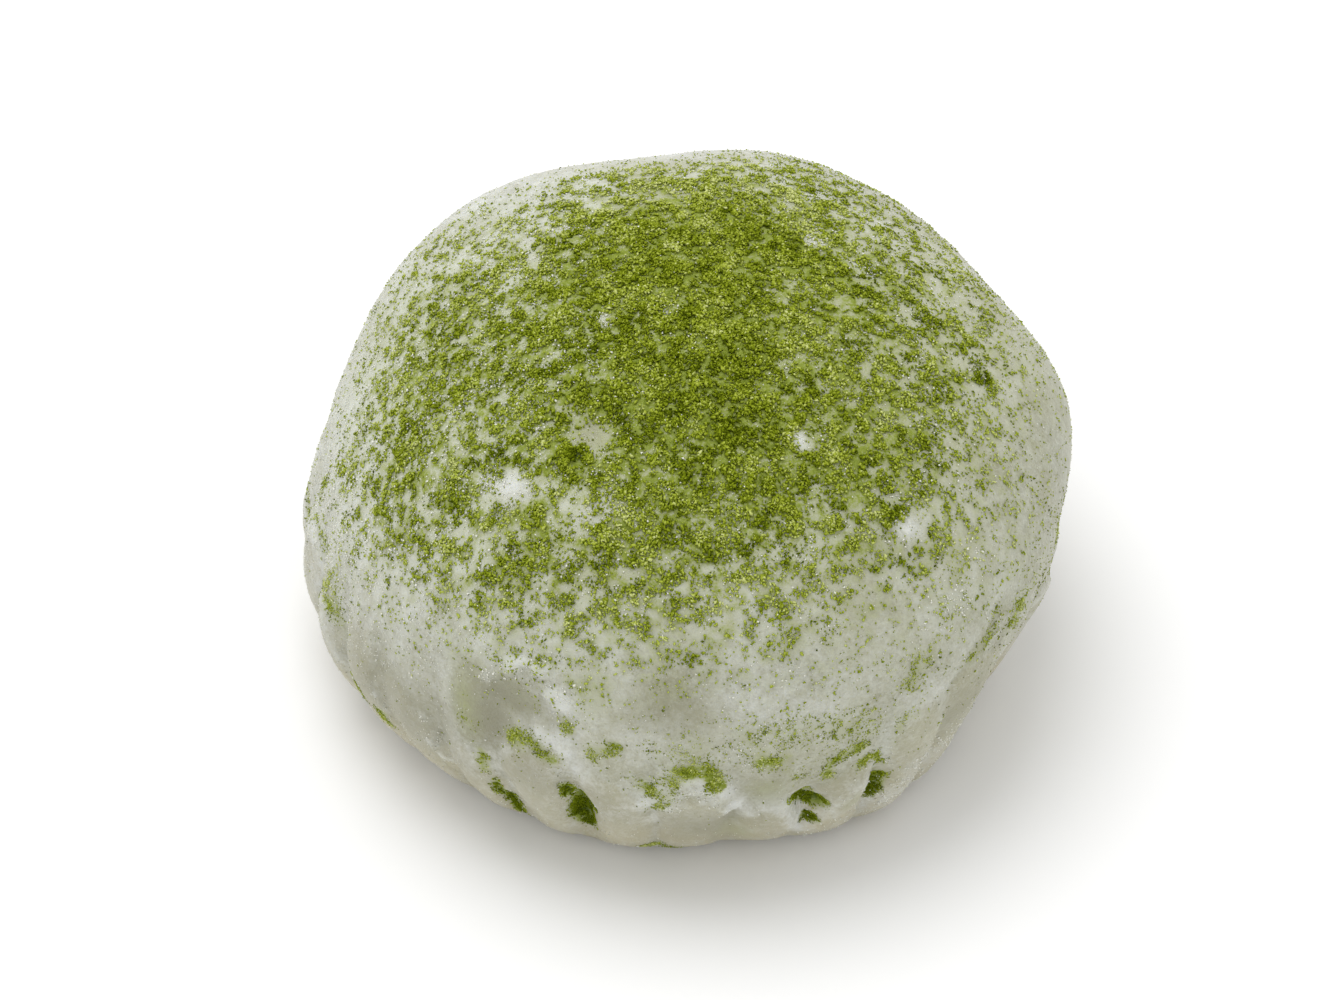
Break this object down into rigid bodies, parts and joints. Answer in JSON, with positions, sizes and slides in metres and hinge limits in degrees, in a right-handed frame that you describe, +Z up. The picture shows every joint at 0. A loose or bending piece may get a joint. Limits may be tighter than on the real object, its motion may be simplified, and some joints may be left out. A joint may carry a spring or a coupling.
{
  "type": "mochi rice cake",
  "caption": "Soft round rice cake with a domed top, a fluted tapering side and a flat base, dusted with green tea powder.",
  "frame": {"origin": "middle of the rice cake's box on its flat base, at the surface it rests on", "axes": "+Z up through the dome, -Y the front that faces the viewer, +X to the right"},
  "size_m": [0.0502, 0.0492, 0.0313],
  "materials": {
    "mochi_skin": "soft rice dough, pale and slightly translucent, satin under a dusting of starch",
    "matcha_powder": "matt green tea powder, in fine flakes and small clumps",
    "rice_starch": "white starch, in fine crystals and small crusts"
  },
  "bodies": {
    "root": {"mochi": "mochi_skin"}
  },
  "joints": []
}
